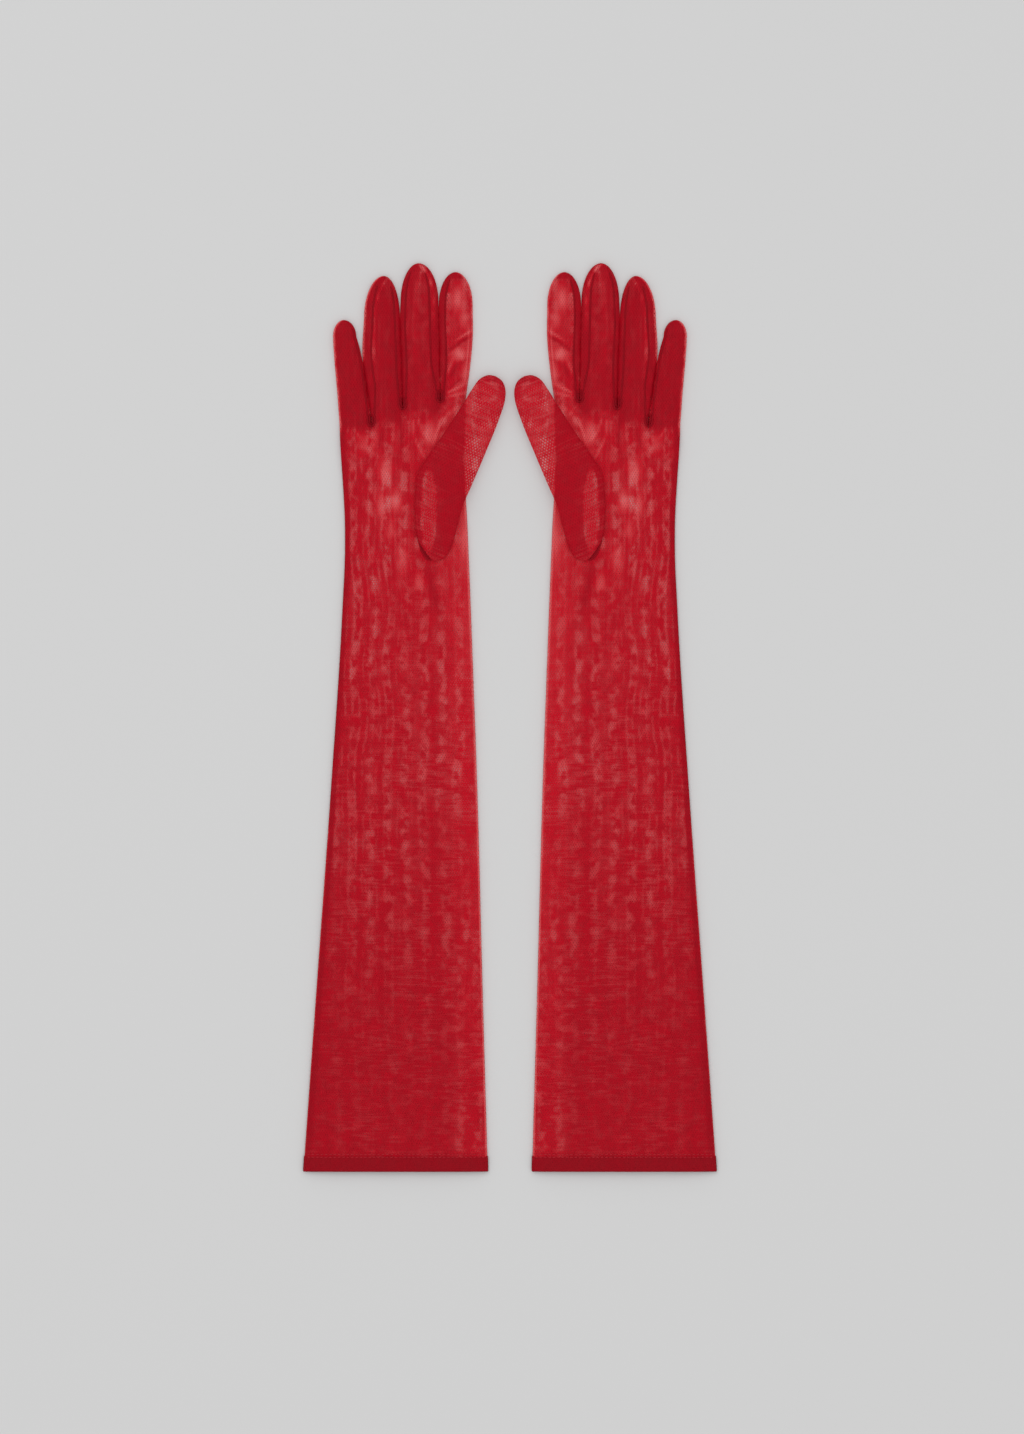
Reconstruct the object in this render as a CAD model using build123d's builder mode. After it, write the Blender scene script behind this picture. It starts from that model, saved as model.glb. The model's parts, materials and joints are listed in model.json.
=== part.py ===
from build123d import *
import os
from math import cos, radians, sin

# A pair of opera gloves laid side by side, palms up, in millimetres.
# +Y runs from hem to fingertips, +Z is up, and X = 0 is the mirror plane between the gloves.
# Everything is drawn for the right-hand glove, which lies on the -X side, and then mirrored.
# Plan coordinates are (across, along): across is measured from the glove's own centreline
# and grows towards the thumb.

LENGTH = 572.6  # hem to middle fingertip
GLOVE_CENTRE = 65.0  # from the mirror plane to a glove's centreline
HEM_Y = -LENGTH / 2
TIP_Y = LENGTH / 2

WALL = 0.6  # cloth with its loft
BODY_GAP = 0.6  # between stretches that bend on each other
TUBE_HEIGHT = 7.0  # sleeve and hand as they lie, lightly filled out
FINGER_HEIGHT = 6.4
THUMB_HEIGHT = 6.0
TUBE_ROUND = 3.0
FINGER_ROUND = 2.8
THUMB_ROUND = 2.6
RUN_OUT = 14.0  # how far a plan is drawn past the cut that ends it

ELBOW_Y = -140.0
WRIST_Y = 90.0
HEM_DEPTH = 9.5
THREAD = 0.3
SEAM_WIDTH = 3.0  # allowance turned to the inside
SEAM_THICKNESS = 0.8

# Long edges of sleeve and hand: the little-finger side and the thumb side.
OUTER_EDGE = [
    (-66.2, HEM_Y - RUN_OUT),
    (-56.1, -159.0),
    (-47.9, -46.0),
    (-40.6, 68.0),
    (-39.0, 118.0),
    (-42.4, 185.0),
    (-43.2, 185.0 + RUN_OUT),
]
INNER_EDGE = [
    (51.5, HEM_Y - RUN_OUT),
    (47.5, -159.0),
    (44.5, -46.0),
    (41.1, 49.0),
    (38.4, 118.0),
    (36.3, 165.0),
    (37.0, 199.0),
    (38.0, 199.0 + RUN_OUT),
]

# Each finger: where it bends on the hand, its two long edges from there to the start of
# the rounded tip, the tip's highest point and the length of its rounding.
FINGERS = {
    "little": {
        "root": 185.0,
        "left": [(-42.4, 185.0), (-44.6, 212.0), (-46.2, 238.0)],
        "right": [(-23.0, 185.0), (-27.0, 212.0), (-30.6, 238.0)],
        "tip": (-39.6, 250.5),
        "round": 12.4,
    },
    "ring": {
        "root": 189.0,
        "left": [(-21.6, 189.0), (-25.6, 212.0), (-27.6, 235.0)],
        "right": [(-3.1, 189.0), (-3.8, 221.0), (-4.9, 253.0)],
        "tip": (-14.4, 278.2),
        "round": 24.0,
    },
    "middle": {
        "root": 194.3,
        "left": [(-2.3, 194.3), (-3.2, 229.0), (-4.2, 263.0)],
        "right": [(20.8, 194.3), (20.2, 229.0), (19.6, 263.0)],
        "tip": (7.4, TIP_Y),
        "round": 22.0,
    },
    "index": {
        "root": 199.0,
        "left": [(21.6, 199.0), (21.0, 230.0), (20.4, 260.0)],
        "right": [(35.9, 199.0), (40.9, 234.0), (41.4, 260.0)],
        "tip": (30.7, 280.7),
        "round": 20.0,
    },
}
FOURCHETTE_WIDTH = 5.0  # the part of a fourchette that lies on the palm side
FOURCHETTE_END = 9.0  # short of the fingertip

# Where neighbouring fingers part: little and ring, ring and middle, middle and index.
CROTCHES = {
    "crotch_ring_little": (-22.3, "little", "ring"),
    "crotch_middle_ring": (-2.7, "ring", "middle"),
    "crotch_index_middle": (21.2, "middle", "index"),
}
CROTCH_RADIUS = 1.6
CROTCH_DEPTH = 5.0

# The thumb lies on the palm, sewn round an oval hole in the palm layer.
THUMB_OUTLINE = [
    (18.9, 98.0),
    (8.6, 109.0),
    (5.0, 134.0),
    (7.1, 154.5),
    (25.2, 182.3),
    (38.6, 200.0),
    (44.0, 211.0),
    (52.4, 215.7),
    (62.2, 206.0),
    (56.3, 183.1),
    (44.5, 154.5),
    (34.6, 130.9),
    (28.4, 105.0),
]
THUMB_LIFT = TUBE_HEIGHT + THREAD
THUMB_ANGLE = 22.0  # from +Y towards the other glove
THUMB_KNUCKLE = (30.6, 162.8)
THUMB_HOLE_CENTRE = (14.6, 129.5)
THUMB_HOLE_WIDTH = 13.6
THUMB_HOLE_LENGTH = 56.0
THUMB_SEAM_WIDTH = 1.6
THUMB_STEPS = 28  # points that carry the thumb's inner plan

BIG = 400.0  # larger than anything that a cut has to reach across


def plan(height):
    """The glove's own plan plane at a height."""
    return Plane((-GLOVE_CENTRE, 0, height))


def across_cut(y, side):
    """A plane across the glove at y that faces the fingers (side 1) or the hem (side -1)."""
    return Plane((0, y, 0), z_dir=(0, side, 0))


def thumb_cut(distance, side):
    """A plane across the thumb at a distance past its knuckle, facing its tip or its base."""
    along = (sin(radians(THUMB_ANGLE)), cos(radians(THUMB_ANGLE)))
    origin = (
        THUMB_KNUCKLE[0] + along[0] * distance - GLOVE_CENTRE,
        THUMB_KNUCKLE[1] + along[1] * distance,
        0,
    )
    return Plane(origin, z_dir=(side * along[0], side * along[1], 0))


def arm_edges(inset):
    """The closed plan of sleeve and hand, moved in from both long edges."""
    outer = [(u + inset, y) for u, y in OUTER_EDGE]
    inner = [(u - inset, y) for u, y in INNER_EDGE]
    with BuildLine() as edges:
        Spline(*outer)
        Line(outer[-1], inner[-1])
        Spline(*inner)
        Line(inner[0], outer[0])
    return edges


def finger_edges(finger, inset):
    """The closed plan of a finger, moved in all round but for its open root."""
    tip_u, tip_y = finger["tip"]
    rounding = finger["round"]
    low = finger["root"] - RUN_OUT
    left = [(u + inset, y) for u, y in finger["left"]]
    right = [(u - inset, y) for u, y in finger["right"]]
    centre_y = tip_y - rounding
    left_reach = tip_u - left[-1][0]
    right_reach = right[-1][0] - tip_u
    rise = rounding - inset
    tip_left = [
        (tip_u - left_reach * cos(radians(a)), centre_y + rise * sin(radians(a)))
        for a in (35, 65)
    ]
    tip_right = [
        (tip_u + right_reach * cos(radians(a)), centre_y + rise * sin(radians(a)))
        for a in (65, 35)
    ]
    left_low = (left[0][0], low)
    right_low = (right[0][0], low)
    top = (tip_u, centre_y + rise)
    with BuildLine() as edges:
        Spline(left_low, *left, *tip_left, top, *tip_right, *reversed(right), right_low)
        Line(right_low, left_low)
    return edges


def thumb_edges(inset):
    """The closed plan of the thumb, which runs clockwise, moved in all round."""
    with BuildLine() as outline:
        Spline(*THUMB_OUTLINE, periodic=True)
    if inset == 0:
        return outline
    curve = outline.edges()[0]
    points = []
    for step in range(THUMB_STEPS):
        at = curve.position_at(step / THUMB_STEPS)
        along = curve.tangent_at(step / THUMB_STEPS)
        points.append((at.X + along.Y * inset, at.Y - along.X * inset))
    with BuildLine() as edges:
        Spline(*points, periodic=True)
    return edges


def long_edges(part, low, high):
    """The edges that run lengthwise round the top and the bottom of a flat extrusion."""
    curved = part.edges().filter_by(GeomType.LINE, reverse=True)
    return curved.filter_by_position(Axis.Z, low, low) + curved.filter_by_position(Axis.Z, high, high)


def pillow(edges, base, height, rounding):
    """A flat solid on a plan, with its long edges rounded."""
    with BuildPart() as body:
        with BuildSketch(plan(base)):
            with BuildLine():
                add(edges.line)
            make_face()
        extrude(amount=height)
        fillet(long_edges(body, base, base + height), radius=rounding)
    return body


def tube(outer_edges, inner_edges, base, height, rounding):
    """A flattened tube of cloth: a pillow less the pillow inside it."""
    outside = pillow(outer_edges, base, height, rounding)
    inside = pillow(inner_edges, base + WALL, height - 2 * WALL, rounding - WALL)
    with BuildPart() as shell:
        add(outside.part)
        add(inside.part, mode=Mode.SUBTRACT)
    return shell


def stretch(source, y_low, y_high):
    """The stretch of a solid between two cuts across the glove."""
    with BuildPart() as piece:
        add(source.part)
        split(bisect_by=across_cut(y_low, 1), keep=Keep.TOP)
        split(bisect_by=across_cut(y_high, -1), keep=Keep.TOP)
    return piece


def save_pair(piece, name):
    """Write a right-hand piece and its mirror image."""
    piece.part.label = "right_" + name
    export_step(piece.part, f"parts/right_{name}.step")
    with BuildPart() as other:
        mirror(piece.part, about=Plane.YZ)
    other.part.label = "left_" + name
    export_step(other.part, f"parts/left_{name}.step")


def side_seam_strip():
    """The allowance of the long seam, inside the tube along its little-finger edge."""
    middle = (TUBE_HEIGHT - SEAM_THICKNESS) / 2
    start = [(u + WALL, y) for u, y in OUTER_EDGE]
    end = [(u + WALL + SEAM_WIDTH, y) for u, y in OUTER_EDGE]
    with BuildPart() as strip:
        with BuildSketch(plan(middle)):
            with BuildLine():
                Spline(*start)
                Line(start[-1], end[-1])
                Spline(*end)
                Line(end[0], start[0])
            make_face()
        extrude(amount=SEAM_THICKNESS)
    return strip


def make_sleeves():
    """Hem, stitching, upper sleeve and forearm, with the long seam inside them."""
    shell = tube(arm_edges(0), arm_edges(WALL), 0, TUBE_HEIGHT, TUBE_ROUND)
    folded = tube(arm_edges(0), arm_edges(2 * WALL), 0, TUBE_HEIGHT, TUBE_ROUND)
    strip = side_seam_strip()
    stitch_y = HEM_Y + HEM_DEPTH
    sleeve_y = stitch_y + THREAD
    save_pair(stretch(folded, HEM_Y, stitch_y), "cuff_hem")
    save_pair(stretch(shell, stitch_y, sleeve_y), "hem_stitching")
    save_pair(stretch(shell, sleeve_y, ELBOW_Y - BODY_GAP / 2), "upper_sleeve")
    save_pair(stretch(strip, sleeve_y, ELBOW_Y - BODY_GAP / 2), "upper_side_seam")
    save_pair(stretch(shell, ELBOW_Y + BODY_GAP / 2, WRIST_Y - BODY_GAP / 2), "forearm_sleeve")
    save_pair(stretch(strip, ELBOW_Y + BODY_GAP / 2, WRIST_Y - BODY_GAP / 2), "forearm_side_seam")
    make_hand(shell, strip)


def make_hand(shell, strip):
    """The hand's part of the trank, cut back to each finger's root, with the thumb's hole."""
    bounds = [-BIG] + [CROTCHES[name][0] for name in CROTCHES] + [BIG]
    with BuildPart() as hand:
        add(shell.part)
        split(bisect_by=across_cut(WRIST_Y + BODY_GAP / 2, 1), keep=Keep.TOP)
        for finger, low, high in zip(FINGERS.values(), bounds, bounds[1:]):
            with BuildSketch(plan(0)):
                with Locations((low, finger["root"] - BODY_GAP / 2)):
                    Rectangle(high - low, BIG, align=(Align.MIN, Align.MIN))
            extrude(amount=TUBE_HEIGHT, mode=Mode.SUBTRACT)
        with BuildSketch(plan(TUBE_HEIGHT)):
            with Locations(THUMB_HOLE_CENTRE):
                Ellipse(THUMB_HOLE_WIDTH / 2, THUMB_HOLE_LENGTH / 2)
        extrude(amount=-WALL, mode=Mode.SUBTRACT)
    save_pair(hand, "hand_trank")
    hand_end = FINGERS["little"]["root"] - BODY_GAP / 2
    save_pair(stretch(strip, WRIST_Y + BODY_GAP / 2, hand_end), "hand_side_seam")


def make_crotches():
    """The turn of each fourchette between two fingers: a small U that joins palm and back."""
    for name, (u, near, far) in CROTCHES.items():
        near_end = FINGERS[near]["root"] - BODY_GAP / 2
        far_end = FINGERS[far]["root"] - BODY_GAP / 2
        turn_y = FINGERS[near]["root"] - CROTCH_DEPTH
        left = u - CROTCH_RADIUS
        right = u + CROTCH_RADIUS
        with BuildPart() as crotch:
            with BuildSketch(plan(WALL)):
                with BuildLine():
                    Line((left, near_end), (left, turn_y))
                    ThreePointArc((left, turn_y), (u, turn_y - CROTCH_RADIUS), (right, turn_y))
                    Line((right, turn_y), (right, far_end))
                trace(line_width=WALL)
            extrude(amount=TUBE_HEIGHT - 2 * WALL)
        save_pair(crotch, name)


def side_strip(finger, side, near, far, end_y, base, height):
    """A block along one long side of a finger, between two distances in from its edge."""
    align = Align.MAX if side == "left" else Align.MIN
    root_middle = (finger["left"][0][0] + finger["right"][0][0]) / 2
    middle = (finger["tip"][0] + root_middle) / 2
    with BuildPart() as strip:
        with BuildSketch(plan(base)):
            with BuildLine():
                add(finger_edges(finger, near).line)
            make_face()
            with BuildLine():
                add(finger_edges(finger, far).line)
            make_face(mode=Mode.SUBTRACT)
            with Locations((middle, end_y)):
                Rectangle(BIG, BIG, align=(align, Align.MAX), mode=Mode.INTERSECT)
        extrude(amount=height)
    return strip


def fourchette_region(finger, side):
    """All that lies within a fourchette's width of one side of a finger."""
    end_y = finger["tip"][1] - FOURCHETTE_END
    return side_strip(finger, side, -WALL, FOURCHETTE_WIDTH, end_y, 0, FINGER_HEIGHT)


def finger_seam(finger):
    """The allowance of the long seam where it runs on up the little finger."""
    middle = (FINGER_HEIGHT - SEAM_THICKNESS) / 2
    end_y = finger["tip"][1] - finger["round"]
    return side_strip(finger, "left", WALL, WALL + SEAM_WIDTH, end_y, middle, SEAM_THICKNESS)


def make_finger(name, fourchettes):
    """Palm panel, back panel and the fourchette legs of one finger."""
    finger = FINGERS[name]
    shell = tube(
        finger_edges(finger, 0), finger_edges(finger, WALL), 0, FINGER_HEIGHT, FINGER_ROUND
    )
    root = across_cut(finger["root"] + BODY_GAP / 2, 1)
    regions = {side: fourchette_region(finger, side) for side in fourchettes}
    for side, label in fourchettes.items():
        with BuildPart() as leg:
            add(shell.part)
            split(bisect_by=root, keep=Keep.TOP)
            add(regions[side].part, mode=Mode.INTERSECT)
        save_pair(leg, label)
    for label, keep in (("palm_panel", Keep.TOP), ("back_panel", Keep.BOTTOM)):
        with BuildPart() as panel:
            add(shell.part)
            split(bisect_by=root, keep=Keep.TOP)
            split(bisect_by=Plane.XY.offset(FINGER_HEIGHT / 2), keep=keep)
            for region in regions.values():
                add(region.part, mode=Mode.SUBTRACT)
        save_pair(panel, f"{name}_{label}")
    if name == "little":
        with BuildPart() as seam:
            add(finger_seam(finger).part)
            split(bisect_by=root, keep=Keep.TOP)
        save_pair(seam, "little_side_seam")


def make_thumb():
    """The thumb's base on the palm, its free sheath, and the seam round its hole."""
    shell = tube(
        thumb_edges(0), thumb_edges(WALL), THUMB_LIFT, THUMB_HEIGHT, THUMB_ROUND
    )
    with BuildPart() as sheath:
        add(shell.part)
        split(bisect_by=thumb_cut(BODY_GAP / 2, 1), keep=Keep.TOP)
    save_pair(sheath, "thumb_sheath")
    with BuildPart() as base:
        add(shell.part)
        split(bisect_by=thumb_cut(-BODY_GAP / 2, -1), keep=Keep.TOP)
        with BuildSketch(plan(THUMB_LIFT)):
            with Locations(THUMB_HOLE_CENTRE):
                Ellipse(THUMB_HOLE_WIDTH / 2, THUMB_HOLE_LENGTH / 2)
        extrude(amount=WALL, mode=Mode.SUBTRACT)
    save_pair(base, "thumb_base")
    with BuildPart() as seam:
        with BuildSketch(plan(TUBE_HEIGHT)):
            with Locations(THUMB_HOLE_CENTRE):
                Ellipse(
                    THUMB_HOLE_WIDTH / 2 + THUMB_SEAM_WIDTH,
                    THUMB_HOLE_LENGTH / 2 + THUMB_SEAM_WIDTH,
                )
                Ellipse(THUMB_HOLE_WIDTH / 2, THUMB_HOLE_LENGTH / 2, mode=Mode.SUBTRACT)
        extrude(amount=THREAD)
    save_pair(seam, "thumb_hole_seam")


os.makedirs("parts", exist_ok=True)
make_sleeves()
make_crotches()
make_finger("little", {"right": "little_fourchette"})
make_finger("ring", {"left": "ring_fourchette_little_side", "right": "ring_fourchette_middle_side"})
make_finger("middle", {"left": "middle_fourchette_ring_side", "right": "middle_fourchette_index_side"})
make_finger("index", {"left": "index_fourchette"})
make_thumb()
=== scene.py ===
import json
from functools import lru_cache
from math import cos, exp, hypot, pi, radians, sin, sqrt

import bmesh
import bpy
import numpy as np
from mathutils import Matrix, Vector, noise

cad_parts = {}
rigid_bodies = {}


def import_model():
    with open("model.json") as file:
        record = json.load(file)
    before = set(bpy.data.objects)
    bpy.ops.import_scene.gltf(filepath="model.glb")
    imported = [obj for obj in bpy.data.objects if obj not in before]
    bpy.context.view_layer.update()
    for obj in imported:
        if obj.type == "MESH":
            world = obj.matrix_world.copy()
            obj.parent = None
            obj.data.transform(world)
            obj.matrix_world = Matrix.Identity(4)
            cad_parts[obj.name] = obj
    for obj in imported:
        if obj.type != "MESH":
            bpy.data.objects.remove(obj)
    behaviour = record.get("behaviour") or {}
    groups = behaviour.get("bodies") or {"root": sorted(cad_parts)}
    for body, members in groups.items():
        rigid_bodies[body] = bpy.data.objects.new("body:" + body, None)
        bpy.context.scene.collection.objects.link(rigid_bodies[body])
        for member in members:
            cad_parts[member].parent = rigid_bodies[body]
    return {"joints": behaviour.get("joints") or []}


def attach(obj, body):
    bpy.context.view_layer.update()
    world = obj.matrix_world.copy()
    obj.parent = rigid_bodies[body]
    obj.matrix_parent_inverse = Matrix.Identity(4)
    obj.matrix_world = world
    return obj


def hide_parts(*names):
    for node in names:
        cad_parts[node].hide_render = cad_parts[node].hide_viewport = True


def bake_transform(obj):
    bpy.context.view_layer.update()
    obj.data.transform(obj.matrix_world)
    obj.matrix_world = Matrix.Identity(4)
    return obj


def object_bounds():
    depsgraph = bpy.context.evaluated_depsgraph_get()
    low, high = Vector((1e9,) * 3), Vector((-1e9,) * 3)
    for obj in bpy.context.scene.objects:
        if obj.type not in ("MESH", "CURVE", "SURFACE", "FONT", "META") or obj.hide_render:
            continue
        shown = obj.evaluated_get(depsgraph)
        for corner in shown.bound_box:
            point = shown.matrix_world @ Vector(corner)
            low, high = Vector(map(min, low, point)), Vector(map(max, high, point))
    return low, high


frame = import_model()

# A pair of sheer mesh gloves. Lengths are in millimetres on the glove's own plan, (across,
# along), as the CAD has it, and become metres only when a mesh is made. Everything is drawn
# for the right-hand glove; the left one is its mirror image.

cad_low, cad_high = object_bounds()
MM = 0.001
GLOVE_CENTRE = 65.0
HEM_Y = cad_low[1] / MM
TIP_Y = cad_high[1] / MM
joint_of = {joint["name"]: joint for joint in frame["joints"]}
ELBOW_Y = joint_of["right_elbow"]["pos_m"][1] / MM
WRIST_Y = joint_of["right_wrist"]["pos_m"][1] / MM
ROOTS = {
    name: joint_of[f"right_{name}_knuckle"]["pos_m"][1] / MM
    for name in ("little", "ring", "middle", "index")
}
HEM_DEPTH = 9.5

OUTER_EDGE = [
    (-66.2, HEM_Y - 14), (-56.1, -159), (-47.9, -46), (-40.6, 68), (-39.0, 105),
    (-39.0, 118), (-42.4, 185), (-42.6, 215),
]
INNER_EDGE = [
    (51.5, HEM_Y - 14), (47.5, -159), (44.5, -46), (41.1, 49), (38.4, 118), (36.3, 165),
    (36.9, 185), (37.0, 215),
]
# Where the hand is divided between the fingers, from the outer edge to the thumb side.
BANDS = [-42.4, -22.3, -2.7, 21.2, 37.0]
FINGERS = {
    "little": {
        "left": [(-42.4, 185), (-43.9, 205), (-46.1, 231), (-46.6, 240)],
        "right": [(-22.3, 185), (-22.5, 189), (-25.3, 208), (-28.1, 226), (-30.0, 234),
                  (-31.8, 240)],
        "tip": (-39.7, 250.5), "round": 10.5,
    },
    "ring": {
        "left": [(-22.5, 189), (-25.4, 208), (-28.0, 228), (-27.0, 252)],
        "right": [(-2.6, 189), (-3.3, 225), (-4.2, 250), (-4.3, 252)],
        "tip": (-14.4, 278.3), "round": 26.3,
    },
    "middle": {
        "left": [(-2.7, 194.3), (-3.55, 229), (-4.4, 252), (-3.95, 262)],
        "right": [(21.25, 194.3), (20.8, 229), (20.2, 252), (19.95, 262)],
        "tip": (7.5, TIP_Y), "round": 24.3,
    },
    "index": {
        "left": [(21.15, 199), (20.6, 230), (20.0, 258), (20.1, 260)],
        "right": [(36.9, 199), (39.8, 220), (41.6, 240), (41.5, 260)],
        "tip": (30.7, 280.7), "round": 20.7,
    },
}

SIDE_Z = 1.7  # height of the folds along the sides
SLEEVE_RISE = 3.5
FINGER_RISE = 2.7
FLOOR_SINK = 1.35  # how far the back layer drops from the side folds to the floor
COLUMNS = 18  # grid cells across each finger
SLEEVE_ROW = 2.2  # spacing of grid rows along the sleeve
HAND_ROW = 1.25  # and along the hand and fingers
BACK_SHIFT = (0.35, 0.5)  # so that the holes of the back don't line up with the palm's


def between(start, end, slope_start, slope_end, span, t):
    """A place on a smooth curve between two points, t from 0 to 1."""
    return ((2 * t**3 - 3 * t**2 + 1) * start + (t**3 - 2 * t**2 + t) * span * slope_start
            + (3 * t**2 - 2 * t**3) * end + (t**3 - t**2) * span * slope_end)


@lru_cache(maxsize=None)
def slopes_of(points):
    """Slope of a smooth curve at each of its (across, along) points."""
    ys = [p[1] for p in points]
    us = [p[0] for p in points]
    return np.gradient(us, ys).tolist()


@lru_cache(maxsize=None)
def curve_at(points, y):
    """Across position at y on a smooth curve through (across, along) points."""
    slopes = slopes_of(points)
    i = 0
    while i < len(points) - 2 and y > points[i + 1][1]:
        i += 1
    (u0, y0), (u1, y1) = points[i], points[i + 1]
    span = y1 - y0
    t = min(max((y - y0) / span, 0.0), 1.0)
    return between(u0, u1, slopes[i], slopes[i + 1], span, t)


def curve(points, y):
    """curve_at for a list of points."""
    return curve_at(tuple(points), float(y))


def ease(x, low, high):
    """0 below low, 1 above high, and a smooth step between."""
    t = min(max((x - low) / (high - low), 0.0), 1.0)
    return t * t * (3 - 2 * t)


def noise_at(u, y, wide, long, seed=0.0):
    """Smooth noise from -1 to 1 with its own size across and along."""
    return noise.noise(Vector((u / wide, y / long, seed)))


# ---------------------------------------------------------------- meshes

def place(side, u, y, z):
    """A point on the glove's plan as a place in the row frame."""
    x = (u - GLOVE_CENTRE) * MM
    return (x if side == "right" else -x, y * MM, z * MM)


def as_piece(bm, name):
    """A finished mesh as an object of the scene."""
    mesh = bpy.data.meshes.new(name)
    bm.to_mesh(mesh)
    bm.free()
    piece = bpy.data.objects.new(name, mesh)
    bpy.context.scene.collection.objects.link(piece)
    return piece


def grid_piece(name, side, rows, closed=False, keep=None):
    """A sheet from rows of cells, each ((across, along, height), (its two map places),
    how open the mesh is, which also sets how light its yarn is painted). Where the grid closes
    on itself, each row ends with a copy of its first cell that has map places of its own. keep
    picks the squares that exist. The second map, Plan, is the same for two layers that lie on
    each other."""
    columns = len(rows[0]) - (1 if closed else 0)
    bm = bmesh.new()
    open_and_lit_layer = bm.verts.layers.float.new("open")
    uv_layer = bm.loops.layers.uv.new("UVMap")
    plan_layer = bm.loops.layers.uv.new("Plan")
    verts = []
    for row in rows:
        line = []
        for point, _, thin_and_lit in row[:columns]:
            vert = bm.verts.new(place(side, *point))
            vert[open_and_lit_layer] = thin_and_lit
            line.append(vert)
        verts.append(line)
    for r in range(len(rows) - 1):
        for c in range(len(rows[0]) - 1):
            corners = [(r, c), (r, c + 1), (r + 1, c + 1), (r + 1, c)]
            if keep:
                spots = [rows[i][j][0] for i, j in corners]
                if not keep(sum(p[0] for p in spots) / 4, sum(p[1] for p in spots) / 4):
                    continue
            if side == "left":
                corners.reverse()
            face = bm.faces.new([verts[i][j % columns] for i, j in corners])
            face.smooth = True
            for loop, (i, j) in zip(face.loops, corners):
                (u, y, _), (uv_across, uv_along), _ = rows[i][j]
                loop[uv_layer].uv = (uv_across * MM, uv_along * MM)
                loop[plan_layer].uv = (u * MM, y * MM)
    bmesh.ops.delete(bm, geom=[v for v in bm.verts if not v.link_faces], context="VERTS")
    bmesh.ops.remove_doubles(bm, verts=bm.verts, dist=2e-6)
    return as_piece(bm, f"{side}_{name}")


def rope_piece(name, side, paths, width, height, sides=8):
    """Flat round-edged threads or seam ridges along paths of (across, along, height)."""
    bm = bmesh.new()
    uv_layer = bm.loops.layers.uv.new("UVMap")
    for path in paths:
        rings = []
        for i, point in enumerate(path):
            before = np.array(path[max(i - 1, 0)], float)
            after = np.array(path[min(i + 1, len(path) - 1)], float)
            run = after - before
            length = max(np.hypot(run[0], run[1]), 1e-6)
            normal = (run[1] / length, -run[0] / length)
            ends = 0.35 if i in (0, len(path) - 1) else 1.0
            ring = []
            for k in range(sides):
                a = 2 * pi * k / sides
                off = cos(a) * width / 2 * ends
                up = sin(a) * height / 2 * ends
                u = point[0] + normal[0] * off
                y = point[1] + normal[1] * off
                ring.append(bm.verts.new(place(side, u, y, point[2] + up)))
            rings.append(ring)
        travelled = 0.0
        for i in range(len(rings) - 1):
            step = float(np.linalg.norm(np.subtract(path[i + 1], path[i])))
            for k in range(sides):
                quad = [rings[i][k], rings[i][(k + 1) % sides],
                        rings[i + 1][(k + 1) % sides], rings[i + 1][k]]
                if side == "left":
                    quad.reverse()
                face = bm.faces.new(quad)
                face.smooth = True
                for loop in face.loops:
                    far = loop.vert in rings[i + 1]
                    loop[uv_layer].uv = ((k / sides) * width * MM * 3,
                                         (travelled + (step if far else 0)) * MM)
            travelled += step
        for ring in (rings[0], rings[-1]):
            bm.faces.new(ring)
    bmesh.ops.recalc_face_normals(bm, faces=bm.faces)
    return as_piece(bm, f"{side}_{name}")


class Oval:
    """The thumb's hole, an upright ellipse. Points near its rim are moved onto it."""

    def __init__(self, centre, width, length):
        self.centre = centre
        self.half = (width / 2, length / 2)

    def reach(self, u, y):
        """1 on the rim, less inside."""
        across = (u - self.centre[0]) / self.half[0]
        return sqrt(across**2 + ((y - self.centre[1]) / self.half[1]) ** 2)

    def inside(self, u, y):
        return self.reach(u, y) < 1.0

    def snap(self, u, y):
        r = self.reach(u, y)
        near = 1.1 / min(self.half)
        if r < 1e-6 or abs(r - 1) > near:
            return u, y
        u0, y0 = self.centre
        return u0 + (u - u0) / r, y0 + (y - y0) / r

    def point(self, angle, grow):
        """A point round the rim, moved outwards by grow."""
        return (self.centre[0] + (self.half[0] + grow) * cos(angle),
                self.centre[1] + (self.half[1] + grow) * sin(angle))


THUMB_HOLE = Oval((14.6, 129.5), 13.6, 56.0)
THUMB_WINDOW = Oval((13.8, 129.8), 10.4, 53.0)
HOLE_AREA = pi * THUMB_HOLE.half[0] * THUMB_HOLE.half[1] * MM * MM
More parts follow.
